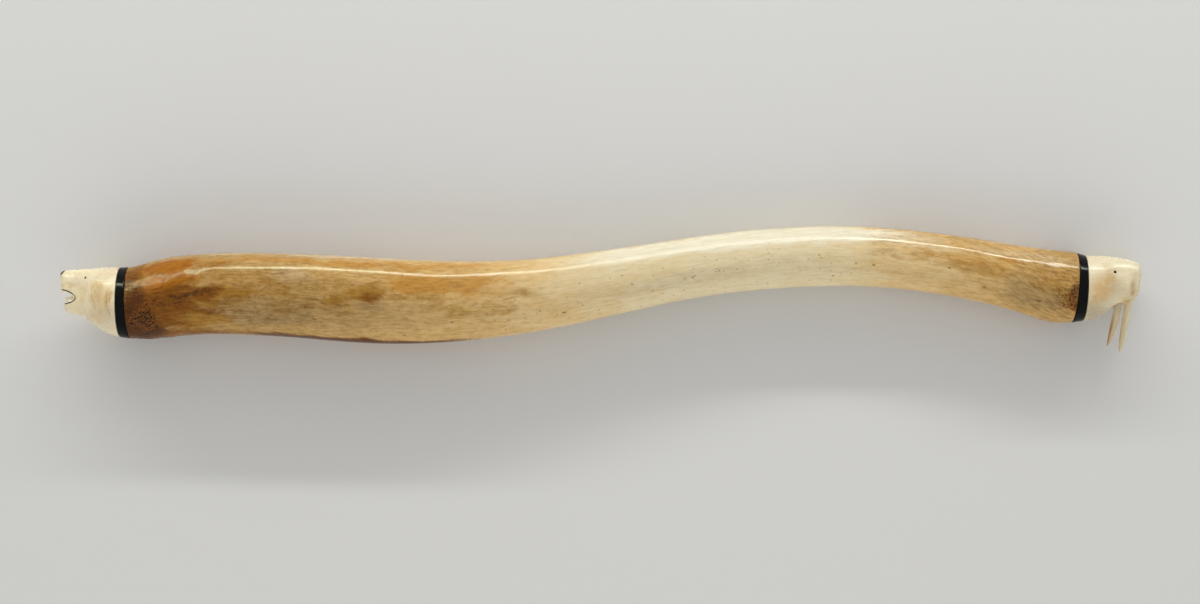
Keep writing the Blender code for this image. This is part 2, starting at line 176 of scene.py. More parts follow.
class Skin:
    """Radii from the middle line of a long CAD solid out to its surface, on a grid of stations and spokes.

    The outermost stations leave room for a rounded rim. The middle line is measured only where it is further
    than inset from the ends. along and around say how far facets are smoothed away, in stations and spokes.
    """

    def __init__(self, node, stations, spokes, rim, inset, along, around):
        mesh = cad_mesh(node)
        tree = BVHTree.FromBMesh(mesh)
        first, last = end_plane(mesh, -1), end_plane(mesh, 1)
        mesh.free()
        margin = rim / (last[0] - first[0])
        share = np.linspace(margin, 1 - margin, stations)
        self.offset = first[0] + (last[0] - first[0]) * share
        self.slope = first[1] + (last[1] - first[1]) * share
        self.rim = rim
        self.middle = self.middle_line(tree, inset, along)
        self.angle = np.linspace(-math.pi, math.pi, spokes, endpoint=False)
        radius = np.empty((stations, spokes))
        for i in range(stations):
            start = self.at(i)
            for j, angle in enumerate(self.angle):
                way = Vector((self.slope[i] * math.sin(angle), math.sin(angle), math.cos(angle)))
                hit = tree.ray_cast(start, way)[0]
                radius[i, j] = math.hypot(hit.y - start.y, hit.z - start.z)
        radius = soften(radius, around, 1, wrap=True)
        self.radius = soften(radius, along, 0) if along else radius

    def middle_line(self, tree, inset, along):
        """The middle of each station, measured clear of the slanted ends and carried straight on there."""
        low, high = self.offset[0] + inset, self.offset[-1] - inset
        inner = np.flatnonzero((self.offset > low) & (self.offset < high))
        y, z = FIRST_MIDDLE
        middle = []
        for i in inner:
            y, z = section_middle(tree, self.offset[i] + self.slope[i] * y, y, z)
            middle.append((y, z))
        middle = np.array(middle)
        if along:
            middle = soften(middle, along, 0)
        before, after = inner[0], len(self.offset) - 1 - inner[-1]
        if len(middle) > 1:
            return np.pad(middle, ((before, after), (0, 0)), mode="reflect", reflect_type="odd")
        return np.pad(middle, ((before, after), (0, 0)), mode="edge")

    def at(self, i):
        y, z = self.middle[i]
        return Vector((self.offset[i] + self.slope[i] * y, y, z))

    def points(self):
        """The surface point of each radius, as a grid."""
        sine, cosine = np.sin(self.angle), np.cos(self.angle)
        y = self.middle[:, :1] + self.radius * sine
        z = self.middle[:, 1:] + self.radius * cosine
        x = self.offset[:, None] + self.slope[:, None] * y
        return np.stack([x, y, np.maximum(z, 0)], axis=2)

    def grain(self):
        """The same points with the bend taken out, so that patterns run along the bone."""
        x = self.points()[:, :, 0]
        return np.stack([x, self.radius * np.sin(self.angle), self.radius * np.cos(self.angle)], axis=2)

    def bearing(self):
        """The direction of each point in degrees, from the side facing up towards the back, as if round."""
        quarter = self.radius.shape[1] // 4
        tall = self.radius[:, [quarter, 3 * quarter]].mean(axis=1, keepdims=True)
        deep = self.radius[:, [0, 2 * quarter]].mean(axis=1, keepdims=True)
        sine, cosine = self.radius * np.sin(self.angle), self.radius * np.cos(self.angle)
        return np.degrees(np.arctan2(sine / tall, cosine / deep))

    def closed(self, grid, centres, rounding, reach):
        """grid with rounded rims added at both ends."""
        rings = [grid]
        for end, outward in ((0, -1), (-1, 1)):
            added = []
            for turn in rounding:
                inward = self.rim * (1 - math.cos(turn))
                ahead = reach * math.sin(turn)
                spread = grid[end] - centres[end]
                length = np.linalg.norm(spread[:, 1:], axis=1, keepdims=True)
                ring = centres[end] + spread * (1 - inward / length)
                ring[:, 0] += outward * ahead
                added.append(ring)
            rings = [np.array(added[::-1]), *rings] if end == 0 else [*rings, np.array(added)]
        return np.concatenate(rings)


RIM_TURNS = [math.radians(turn) for turn in (18, 36, 54, 72, 90)]  # the rings of a rounded rim


def with_ends(rings):
    """The points of all rings in one list, with the middles of the first and last ring after them."""
    return np.concatenate([rings.reshape(-1, 3), [rings[0].mean(axis=0)], [rings[-1].mean(axis=0)]])


def skin_mesh(name, skin, reach):
    """The skin as a closed mesh, with each point's place when the bend is taken out, and its bearing."""
    grid = skin.points()
    centres = np.array([skin.at(i) for i in range(len(skin.offset))])
    rings = skin.closed(grid, centres, RIM_TURNS, reach)
    straight = skin.closed(skin.grain(), centres * (1, 0, 0), RIM_TURNS, reach)
    count, spokes = rings.shape[:2]
    points = with_ends(rings)
    places = with_ends(straight)
    extra = len(RIM_TURNS)
    bearing = np.pad(skin.bearing(), ((extra, extra), (0, 0)), mode="edge").ravel()
    bearing = np.append(bearing, (0.0, 0.0))
    ring, spoke = np.meshgrid(np.arange(count - 1), np.arange(spokes), indexing="ij")
    here, after = ring * spokes + spoke, ring * spokes + (spoke + 1) % spokes
    quads = np.stack([here, here + spokes, after + spokes, after], axis=2).reshape(-1, 4)
    first, last = count * spokes, count * spokes + 1
    fan = []
    for j in range(spokes):
        fan.append((first, j, (j + 1) % spokes))
        base = (count - 1) * spokes
        fan.append((last, base + (j + 1) % spokes, base + j))
    mesh = bpy.data.meshes.new(name)
    mesh.from_pydata(points.tolist(), [], quads.tolist() + fan)
    add_place(mesh, "grain", places)
    return mesh, places, bearing


# -------- the bone's relief and stains

BONE_STATIONS = 676
BONE_SPOKES = 144
BONE_RIM = 0.8 * MM
BONE_RADIUS = 21.0  # mm, to turn an angle round the bone into a length

# A crease that starts as a dark crack on the front near the thick end and fades out along the bone:
# x in mm, and the angle round the bone in degrees, from the side that faces up towards the back's edge.
CREASE = (
    (-240, 1), (-235, -3), (-229, 1), (-222, 5), (-214, 9), (-206, 12), (-196, 13), (-187, 17), (-178, 20),
)
CREASE_DEPTH = 0.22

# Short scraped strokes show at both ends, running down towards the thin end.
STROKE_TURN = math.radians(30)

# How dull the polish is along the bone: x in mm and roughness.
POLISH = (
    (-268, 0.26), (-235, 0.2), (-185, 0.16), (-150, 0.15), (-60, 0.16), (0, 0.25), (140, 0.25), (152, 0.1),
    (269, 0.12),
)

# The larger pores on the front: x in mm, bearing in degrees, half length and half width in mm.
PORES = (
    (-20.5, -38, 1.5, 0.75), (-51.5, -36, 1.1, 0.55), (-83.0, -31, 1.2, 0.6), (-34.0, -28, 0.9, 0.6),
    (-10.0, -31, 0.9, 0.6), (18.0, -11, 0.9, 0.55), (47.0, -18, 0.9, 0.6), (51.5, -18, 1.2, 0.6),
    (66.5, -13, 0.9, 0.6), (69.0, -15, 0.8, 0.6), (116.5, -6, 0.8, 0.6), (122.8, 2, 0.9, 0.6),
    (130.8, -42, 0.9, 0.8), (143.5, -15, 0.8, 0.7), (153.4, -16, 1.1, 0.9), (141.0, -36, 0.8, 0.6),
    (195.5, -7, 1.0, 0.8), (215.5, -32, 1.7, 0.8), (246.0, -31, 1.2, 0.9), (255.0, -40, 1.0, 0.7),
    (-160.0, -32, 1.8, 0.5), (-110.0, -52, 1.2, 0.7),
)
PORE_DEPTH = 0.18

# Each stain: x in mm, bearing in degrees, half length in mm, half width in degrees, strength.
STAINS = {
    # The paler patches along the upper side, by the highlight streak, are partly the bone's own lighter tone
    # and partly painted sheen.
    "pale": (
        (85, 52, 88, 26, 1.0), (-150, 76, 85, 12, 0.4), (235, 43, 34, 12, 0.34), (172, 31, 26, 7, 0.4),
        (-172, 26, 16, 9, 0.35),
    ),
    "grey": (
        (-190, -28, 29, 24, 0.85), (-150, -18, 70, 34, 0.4), (-178, 10, 11, 9, 0.35), (-132, -8, 11, 10, 1.0),
        (-164, -14, 16, 14, 0.6), (30, 80, 110, 14, 0.35),
        (-150, -35, 30, 20, 0.4), (-108, -8, 18, 12, 0.4), (50, -16, 74, 18, 0.35), (118, -6, 40, 14, 0.3),
        (243, -24, 19, 26, 0.8), (-225, 66, 40, 8, 0.2), (0, 170, 90, 60, 0.6), (-200, 170, 40, 40, 0.7),
        (200, -160, 40, 40, 0.6),
    ),
    "tawny": (
        (-103, 26, 20, 14, 1.0), (-76, 24, 15, 12, 0.75), (-150, 50, 75, 6, 0.7), (-230, 52, 24, 8, 0.4),
        (-97, 52, 30, 7, 0.6), (-60, 14, 20, 10, 0.4), (227, 29, 8, 9, 0.6), (200, 14, 26, 12, 0.6),
        (258, 14, 10, 16, 0.35), (-150, 165, 40, 30, 0.7), (225, 170, 30, 40, 0.6),
    ),
    "gold": (
        (-203, 1, 15, 8, 1.0), (-195, 5, 70, 38, 0.42), (-218, -6, 10, 14, 0.9), (-212, 22, 14, 9, 0.3),
        (-182, 3, 5, 6, 0.7),
        (-156, 0, 7, 9, 1.0), (-134, 12, 12, 11, 1.0), (-146, 20, 14, 8, 0.5),
        (-104, 4, 20, 10, 0.55), (-38, 6, 16, 9, 0.45), (-70, -12, 30, 14, 0.4), (-232, -38, 20, 18, 0.9),
        (-264, 40, 8, 36, 0.9), (205, 2, 26, 13, 0.6), (165, 8, 22, 10, 0.45), (254, -6, 14, 22, 0.4),
        (246, 34, 18, 12, 0.3), (-180, 120, 60, 40, 0.6), (180, 120, 40, 40, 0.5), (60, -100, 90, 30, 0.3),
    ),
    "russet": (
        (-243, 48, 18, 16, 1.0), (-241, 21, 18, 10, 1.0), (-247, 10, 12, 9, 0.6), (-242, -10, 20, 24, 0.5),
        (-215, 40, 10, 8, 0.45),
        (-134, 1, 7, 5, 0.25), (-236, 150, 26, 40, 0.9), (265, -26, 7, 16, 0.55),
    ),
    "umber": (
        (-243, -8, 20, 22, 1.0), (-250, -36, 20, 28, 0.9), (-261, -35, 10, 58, 1.0), (-222, 0, 12, 10, 0.9),
        (-226, -24, 16, 10, 0.7), (-210, -12, 8, 8, 0.4), (-264, 46, 7, 26, 0.75), (-132, 6, 9, 8, 0.65),
        (-205, -6, 55, 46, 0.24), (-152, -2, 8, 5, 0.3), (-236, -70, 30, 14, 0.7), (-138, -73, 58, 11, 0.9),
        (-247, -160, 18, 50, 1.0), (268, -16, 5, 22, 0.5), (256, -24, 9, 12, 0.3), (267, -50, 6, 18, 0.5),
        (266, 150, 12, 60, 0.7), (-262, 130, 6, 60, 0.6), (-120, -160, 40, 25, 0.4),
        (-160, -104, 100, 26, 0.5),
    ),
    "sepia": (
        (-264, -30, 8, 50, 0.95), (-256, -45, 12, 34, 0.6), (-266, 26, 5, 20, 0.5), (-246, -6, 14, 8, 0.45),
        (-226, 2, 12, 5, 0.45), (-257, -68, 17, 18, 0.95), (-138, -76, 58, 11, 0.85),
        (-255, -160, 14, 50, 0.7),
        (-180, -12, 60, 40, 0.16), (268, -16, 5, 26, 0.62), (262, -24, 9, 18, 0.42), (268, -48, 4, 18, 0.5),
        (268, 150, 6, 60, 0.6),
    ),
    "char": (
        (-252, -34, 5, 20, 1.0), (-254, -62, 7, 16, 0.5), (-250, -12, 12, 20, 0.25), (-262, -140, 8, 40, 0.8),
        (267, -28, 3, 14, 0.3), (268, -160, 5, 40, 0.5),
    ),
}

# How aged the bone looks along its length: x in mm, and 0 for cream to 1 for tan.
AGE = (
    (-268, 1.0), (-205, 0.92), (-150, 0.72), (-100, 0.55), (-60, 0.43), (-25, 0.27), (15, 0.09), (60, 0.0),
    (115, 0.0), (140, 0.12), (165, 0.32), (195, 0.40), (228, 0.56), (248, 0.76), (269, 0.90),
)


def angle_gap(angle, centre):
    return (angle - centre + 180) % 360 - 180


def stain(x, angle, spots):
    """How strongly the listed stains cover each point."""
    cover = np.zeros_like(x)
    for place, turn, length, width, strength in spots:
        reach = np.hypot((x - place) / length, angle_gap(angle, turn) / width)
        cover = np.maximum(cover, strength * (1 - step(reach, 0.5, 1.6)))
    return cover


def path_gap(points, path):
    """The least distance from 2-D points to a line of short straight runs, and how far along it they fall."""
    best = np.full(len(points), np.inf)
    share = np.zeros(len(points))
    runs = len(path) - 1
    for i in range(runs):
        start, end = np.array(path[i], float), np.array(path[i + 1], float)
        run = end - start
        along = np.clip((points - start) @ run / (run @ run), 0, 1)
        gap = np.linalg.norm(points - start - along[:, None] * run, axis=1)
        nearer = gap < best
        best[nearer] = gap[nearer]
        share[nearer] = (i + along[nearer]) / runs
    return best, share


def crease_gap(x, bearing):
    """The distance in mm from the crease, and how far along it the nearest place is."""
    path = [(place, math.radians(turn) * BONE_RADIUS) for place, turn in CREASE]
    return path_gap(np.stack([x, np.radians(bearing) * BONE_RADIUS], axis=1), path)


def pore_gap(x, bearing):
    """How far each point is from the nearest large pore, as a share of that pore's size."""
    gap = np.full(len(x), 9.0)
    for place, turn, length, width in PORES:
        arc = np.radians(angle_gap(bearing, turn)) * BONE_RADIUS
        gap = np.minimum(gap, np.hypot((x - place) / length, arc / width))
    return gap


def bone_relief(skin):
    """Gives the bone the low waves, bumps and creases of a real one under its polish."""
    places = skin.grain().reshape(-1, 3)
    x, bearing = places[:, 0] / MM, skin.bearing().ravel()
    thick_end = 1 - step(x, -255, -205)
    thin_end = step(x, 222, 262)
    flow = places * (0.25, 1, 1)
    relief = 0.10 * ripple(flow, 22 * MM, 11)
    relief += 0.035 * ripple(flow, 9 * MM, 12)
    relief += 0.10 * thick_end * ripple(places, 9 * MM, 13)
    relief += 0.045 * thick_end * ripple(places, 4 * MM, 14)
    relief += 0.05 * thin_end * ripple(flow, 4.5 * MM, 15)
    gap, share = crease_gap(x, bearing)
    relief -= CREASE_DEPTH * bell(gap, 0.9) * (1 - step(share, 0.75, 1.0))
    relief -= PORE_DEPTH * (1 - step(pore_gap(x, bearing), 0.5, 1.3))
    skin.radius += (relief * MM).reshape(skin.radius.shape)


def bone_masks(mesh, places, angle):
    """Where each stain lies, stored on the bone for its material."""
    x = places[:, 0] / MM
    flow = places * (0.4, 1, 1)
    drift = 3.0 * ripple(flow, 26 * MM, 21) + 1.6 * ripple(flow, 9 * MM, 22)
    turn = 2.5 * ripple(flow, 20 * MM, 23) + 1.8 * ripple(flow, 7 * MM, 24)
    where, bearing = x + drift, angle + turn
    for name, spots in STAINS.items():
        add_mask(mesh, name, stain(where, bearing, spots))
    stations, ages = zip(*AGE)
    age = np.interp(x + 2 * drift, stations, ages)
    ridge = step(bearing, 10, 40) * (1 - step(bearing, 100, 130))
    age += 0.22 * ridge * step(where, 146, 156) * (1 - step(where, 200, 250))
    add_mask(mesh, "age", np.clip(age, 0, 1))
    add_mask(mesh, "dullness", np.interp(x + drift, *zip(*POLISH)))
    pores = step(x, -120, -40) * (1 - 0.8 * step(x, 130, 190)) * (1 - step(x, 235, 262))
    pores *= 1 - step(bearing, 5, 40)
    add_mask(mesh, "pores", pores * step(bearing, -170, -150))
    gap, share = crease_gap(x, angle)
    add_mask(mesh, "crease", bell(gap, 0.9) * (1 - step(share, 0.2, 0.5)))
    add_mask(mesh, "pit", pore_gap(x, angle))
    sheet = np.stack([places[:, 0], np.radians(angle) * BONE_RADIUS * MM, np.zeros(len(x))], axis=1)
    add_place(mesh, "sheet", sheet)
    add_mask(mesh, "worked", np.maximum(step(x, 205, 250), 0.2 * (1 - step(x, -235, -195))))
    add_mask(mesh, "knobbly", 1 - step(x, -245, -205))
    cosine, sine = math.cos(STROKE_TURN), math.sin(STROKE_TURN)
    along, across = sheet[:, 0] * cosine - sheet[:, 1] * sine, sheet[:, 0] * sine + sheet[:, 1] * cosine
    add_place(mesh, "strokes", np.stack([0.26 * along, across, np.zeros(len(x))], axis=1))


# -------- heads, tusks and eyes

# The size of the quads in each net: fine enough for crisp edges, with under 200,000 triangles a piece.
BEAR_NET = 0.26 * MM
WALRUS_NET = 0.25 * MM
TUSK_NET = 0.2 * MM
NOSE_NET = 0.12 * MM
SHARP_EDGE = math.radians(38)
EYE_CLEARANCE = 2.5 * MM
SMOOTHING_REACH = 0.15 * MM  # the furthest that smoothing moves a point
CRISP_WIDTH = (0.5 * MM, 1.2 * MM)  # how near a sharp edge its points stay on the CAD solid, fully and partly


def sharp_places(mesh, gap, eyes):
    """Points along the sharp edges of a bmesh, clear of the eyes."""
    places = []
    for edge in mesh.edges:
        start, end = edge.verts[0].co, edge.verts[1].co
        clear = all((start - eye).length > EYE_CLEARANCE for eye in eyes)
        if clear and len(edge.link_faces) == 2 and edge.calc_face_angle() > SHARP_EDGE:
            count = max(1, round((end - start).length / gap))
            places += [start.lerp(end, k / count) for k in range(count + 1)]
    return places


def gaps_to(points, places):
    """The distance from each point to the nearest of some places, or a far one where there are none."""
    if not places:
        return np.full(len(points), FAR)
    tree = KDTree(len(places))
    for k, place in enumerate(places):
        tree.insert(place, k)
    tree.balance()
    return np.array([tree.find(point)[2] for point in points])


def remeshed(voxel, node, filled):
    """A CAD node with the sockets of other nodes filled, and its shape as an even net of small quads."""
    source = cad_mesh(node)
    for other in filled:
        source.from_mesh(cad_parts[other].data)
    bmesh.ops.remove_doubles(source, verts=source.verts, dist=MERGE)
    mesh = bpy.data.meshes.new(node + "_net")
    source.to_mesh(mesh)
    holder = bpy.data.objects.new(node + "_net", mesh)
    bpy.context.scene.collection.objects.link(holder)
    modifier = holder.modifiers.new("net", "REMESH")
    modifier.mode = "VOXEL"
    modifier.voxel_size = voxel
    shown = holder.evaluated_get(bpy.context.evaluated_depsgraph_get())
    net = bpy.data.meshes.new_from_object(shown)
    bpy.data.objects.remove(holder)
    return source, net


def relax(points, edges, pull, rounds):
    """Moves each point towards the mean of its neighbours, by its own share of pull."""
    start, end = edges[:, 0], edges[:, 1]
    count = len(points)
    neighbours = np.bincount(start, minlength=count) + np.bincount(end, minlength=count)
    for _ in range(rounds):
        mean = np.empty_like(points)
        for axis in range(3):
            sums = np.bincount(start, points[end, axis], count) + np.bincount(end, points[start, axis], count)
            mean[:, axis] = sums / neighbours
        points = points + (mean - points) * pull[:, None]
    return points


def smooth_net(node, *filled, voxel, rounds):
    """A refined copy of a CAD node whose facets are smoothed away and whose sharp edges stay crisp."""
    source, net = remeshed(voxel, node, filled)
    points, edges = mesh_arrays(net)
    eyes = [sum(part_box(other), Vector()) / 2 for other in filled]
    corners = sharp_places(source, voxel, eyes)
    tree = BVHTree.FromBMesh(source)
    source.free()
    gaps = gaps_to(points, corners)
    pull = 0.5 * np.clip(gaps / CRISP_WIDTH[1], 0.1, 1)
    move = relax(points, edges, pull, rounds) - points
    length = np.linalg.norm(move, axis=1, keepdims=True)
    points = points + move * np.minimum(1, SMOOTHING_REACH / np.maximum(length, 1e-9))
    crisp = 1 - step(gaps, *CRISP_WIDTH)
    for i in np.flatnonzero(crisp):
        points[i] += crisp[i] * (np.array(tree.find_nearest(points[i])[0]) - points[i])
    set_points(net, points)
    return net


def forms(points, normals, shapes):
    """How far each point on the flanks moves, in mm, for bumps and hollows.

    Each shape is x, y, half length, half height and rise, in mm.
    """
    flank = step(np.abs(normals[:, 2]), 0.15, 0.6)
    x, y = points[:, 0] / MM, points[:, 1] / MM
    move = np.zeros(len(points))
    for place, height, length, tall, rise in shapes:
        move += rise * np.exp(-(((x - place) / length) ** 2) - ((y - height) / tall) ** 2)
    return move * flank


def curved(path, rounds=3):
    """The path with its corners cut again and again until it is a smooth curve."""
    places = np.array(path, float)
    for _ in range(rounds):
        start, end = places[:-1], places[1:]
        cut = np.stack([0.75 * start + 0.25 * end, 0.25 * start + 0.75 * end], axis=1).reshape(-1, 2)
        places = np.concatenate([places[:1], cut, places[-1:]])
    return places


def line_gap(points, path):
    """The distance in mm, seen from the side, to a line drawn on the flanks, and how far along it."""
    return path_gap(points[:, :2] / MM, curved(path))


TOOTH_SWELLING = 0.12
# The middle of the bear's tongue and teeth, their half length and half height, and their depth either side.
BEAR_MOUTH = (-299.8, -6.0, 3.2, 2.5, 4.8)
LIP_LINE = (
    (-303.6, -0.1), (-300.5, -0.7), (-298.1, -1.9), (-296.2, -3.3), (-295.5, -4.6), (-296.3, -6.2),
    (-298.6, -7.5), (-301.3, -8.1),
)
# Each growth line's path, width and strength.
GROWTH_LINES = (
    (((-285.0, 2.2), (-285.0, -1.5), (-284.6, -4.5), (-283.6, -8.2), (-282.2, -11.8)), 0.5, 0.6),
    (((-276.2, -1.0), (-276.4, -4.0), (-276.0, -8.0), (-275.0, -11.6), (-274.0, -15.0)), 0.4, 0.9),
    (((-274.6, -3.0), (-274.6, -6.0), (-274.2, -9.0), (-273.4, -12.5)), 0.35, 0.6),
)
BEAR_FORMS = (
    (-289.4, 6.7, 2.6, 2.2, -0.22), (-288.6, 9.6, 4.5, 1.6, 0.15), (-283.0, -6.0, 6.5, 9.0, 0.35),
    (-297.0, 3.0, 5.0, 3.5, -0.22), (-300.0, 0.8, 3.0, 1.2, 0.12), (-298.0, -11.5, 4.0, 2.0, 0.15),
)
WALRUS_FORMS = (
    (296.2, 0.5, 4.2, 6.0, 0.6), (290.0, -1.0, 2.2, 6.0, -0.8), (282.0, 0.0, 5.0, 8.0, 0.3),
    (289.3, 9.9, 2.4, 2.0, -0.25), (295.0, -5.4, 5.5, 1.0, 0.45), (301.2, 4.0, 0.7, 8.0, -0.18),
)


def flank_mask(points, normals, spots, seed):
    """Soft patches seen on the flanks (x, y, half length, half height, strength), with broken edges."""
    wander = 0.9 * ripple(points, 6 * MM, seed) + 0.3 * ripple(points, 2 * MM, seed + 1)
    x, y = points[:, 0] / MM + wander, points[:, 1] / MM + wander
    cover = np.zeros(len(points))
    for place, height, length, tall, strength in spots:
        reach = ((x - place) / length) ** 2 + ((y - height) / tall) ** 2
        cover = np.maximum(cover, strength * np.exp(-reach))
    return cover * step(np.abs(normals[:, 2]), 0.1, 0.5)


def tone_mask(points, spots):
    """Soft patches on both flanks and between them (x, y, half length, half height, strength)."""
    cover = np.zeros(len(points))
    for place, height, length, tall, strength in spots:
        away = np.hypot((points[:, 0] / MM - place) / length, (points[:, 1] / MM - height) / tall)
        cover = np.maximum(cover, strength * bell(away, 1))
    return cover


def inside_mask(node, points, place, height, length, tall, deep):
    """What lies near a place seen from the side, and near the head's middle: its tongue and teeth."""
    low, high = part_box(node)
    depth = np.abs(points[:, 2] - (low.z + high.z) / 2) / MM
    away = np.hypot((points[:, 0] / MM - place) / length, (points[:, 1] / MM - height) / tall)
    return (1 - step(away, 0.8, 1.2)) * (1 - step(depth, deep, deep + 1.5))


def incise(move, points, facing, lines):
    """Cuts lines into move, in mm, and gives how strongly the coloured ones mark each point.

    Each line is its kind, its path, its depth and width in mm, and its strength.
    """
    marks = {"ink": np.zeros(len(points)), "growth": np.zeros(len(points))}
    for kind, path, depth, width, strength in lines:
        gap, share = line_gap(points, path)
        ends = step(share, 0.0, 0.12) * (1 - step(share, 0.88, 1.0))
        worn = 1 - 0.42 * bell(share - 0.5, 0.17)
        mark = strength * bell(gap, width) * facing * (worn if kind == "ink" else ends)
        move -= depth * mark
        if kind in marks:
            marks[kind] = np.maximum(marks[kind], mark)
    return marks


def head(node, voxel, shapes, lines, stains, tones, mouth, seed):
    """An ivory head with its forms raised, its lines incised, its stains marked, and its painted light and
    shade marked.
    """
    animal = node.split("_")[0]
    eyes = [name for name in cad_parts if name.startswith(animal + "_eye")]
    net = smooth_net(node, *eyes, voxel=voxel, rounds=70)
    points, _ = mesh_arrays(net)
    normals = mesh_normals(net)
    facing = step(np.abs(normals[:, 2]), 0.25, 0.4)
    tongue_and_teeth = inside_mask(node, points, *mouth) if mouth else np.zeros(len(points))
    move = forms(points, normals, shapes) + TOOTH_SWELLING * tongue_and_teeth
    move += 0.02 * ripple(points, 3.5 * MM, seed)
    marks = incise(move, points, facing, lines)
    points = points + normals * (move * MM)[:, None]
    points[:, 2] = np.maximum(points[:, 2], 0)
    set_points(net, points)
    for kind, mark in marks.items():
        add_mask(net, kind, mark)
    add_mask(net, "tongue_and_teeth", tongue_and_teeth)
    add_mask(net, "dentine", flank_mask(points, normals, stains, seed + 2))
    # The tones are painted light on the tops and muzzles, painted shade under the jaws and in hollows, and
    # brown grime.
    for kind, spots in tones.items():
        add_mask(net, kind, tone_mask(points, spots))
    return net


def eye_axis(node, head_node):
    """The middle of a CAD eye, its outward axis, its length and its radius."""
    corners = np.array([vertex.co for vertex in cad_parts[node].data.vertices])
    middle = (corners.max(axis=0) + corners.min(axis=0)) / 2
    spread = corners - corners.mean(axis=0)
    axis = np.linalg.eigh(spread.T @ spread)[1][:, 2]
    low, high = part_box(head_node)
    outward = middle[2] - (low.z + high.z) / 2
    axis = axis * (1 if axis[2] * outward > 0 else -1)
    along = spread @ axis
    radius = np.linalg.norm(spread - along[:, None] * axis, axis=1).max()
    return Vector(middle), Vector(axis), along.max() - along.min(), radius


EYE_SIDES = 40
# An eye's outline from its back to the top of its dome: places along its length, and widths, as shares.
EYE_PROFILE = [(-0.5, 0.0), (-0.5, 0.6), (-0.5, 0.96), (-0.46, 1.0), (0.2, 1.0), (0.32, 1.0)]
EYE_PROFILE += [(0.32 + 0.19 * math.sin(t), math.cos(t)) for t in np.radians((15, 30, 45, 60, 75, 84, 90))]


def eye_mesh(node, head_node):
    """A baleen plug with a polished dome."""
    middle, axis, length, radius = eye_axis(node, head_node)
    side = axis.orthogonal().normalized()
    up = axis.cross(side)
    mesh = bmesh.new()
    rings = []
    for along, wide in EYE_PROFILE:
        centre = middle + axis * (along * length)
        if wide < 1e-6:
            rings.append([mesh.verts.new(centre)])
            continue
        ring = []
        for k in range(EYE_SIDES):
            angle = 2 * math.pi * k / EYE_SIDES
            way = side * math.cos(angle) + up * math.sin(angle)
            ring.append(mesh.verts.new(centre + way * radius * wide))
        rings.append(ring)
    for lower, upper in zip(rings, rings[1:]):
        for k in range(EYE_SIDES):
            corners = [lower[k % len(lower)], lower[(k + 1) % len(lower)]]
            corners += [upper[(k + 1) % len(upper)], upper[k % len(upper)]]
            mesh.faces.new(list(dict.fromkeys(corners)))
    bmesh.ops.recalc_face_normals(mesh, faces=mesh.faces)
    made = bpy.data.meshes.new(node)
    mesh.to_mesh(made)
    mesh.free()
    return made


def tusk(node, amber, painted_tusk_shade, seed):
    """A slim tusk with a streaky surface, painted shade that deepens towards its tip, and amber on its rear
    edge.
    """
    net = smooth_net(node, voxel=TUSK_NET, rounds=50)
    points, _ = mesh_arrays(net)
    normals = mesh_normals(net)
    middle = points.mean(axis=0)
    axis = np.linalg.eigh((points - middle).T @ (points - middle))[1][:, 2]
    axis = axis if axis[1] < 0 else -axis
    along = (points - middle) @ axis
    share = (along - along.min()) / (along.max() - along.min())
    across = points - middle - along[:, None] * axis
    flow = across + along[:, None] * axis * 0.12
    points = points + normals * (0.03 * MM * ripple(flow, 2.2 * MM, seed))[:, None]
    set_points(net, points)
    add_place(net, "grain", flow)
    add_mask(net, "amber", amber * step(share, 0.3, 0.65) * step(-normals[:, 0], 0.0, 0.6))
    # Painted shade on the tusk, deepening towards its tip.
    add_mask(net, "painted_tusk_shade", painted_tusk_shade * (0.6 + 0.4 * share))
    return net


# -------- materials

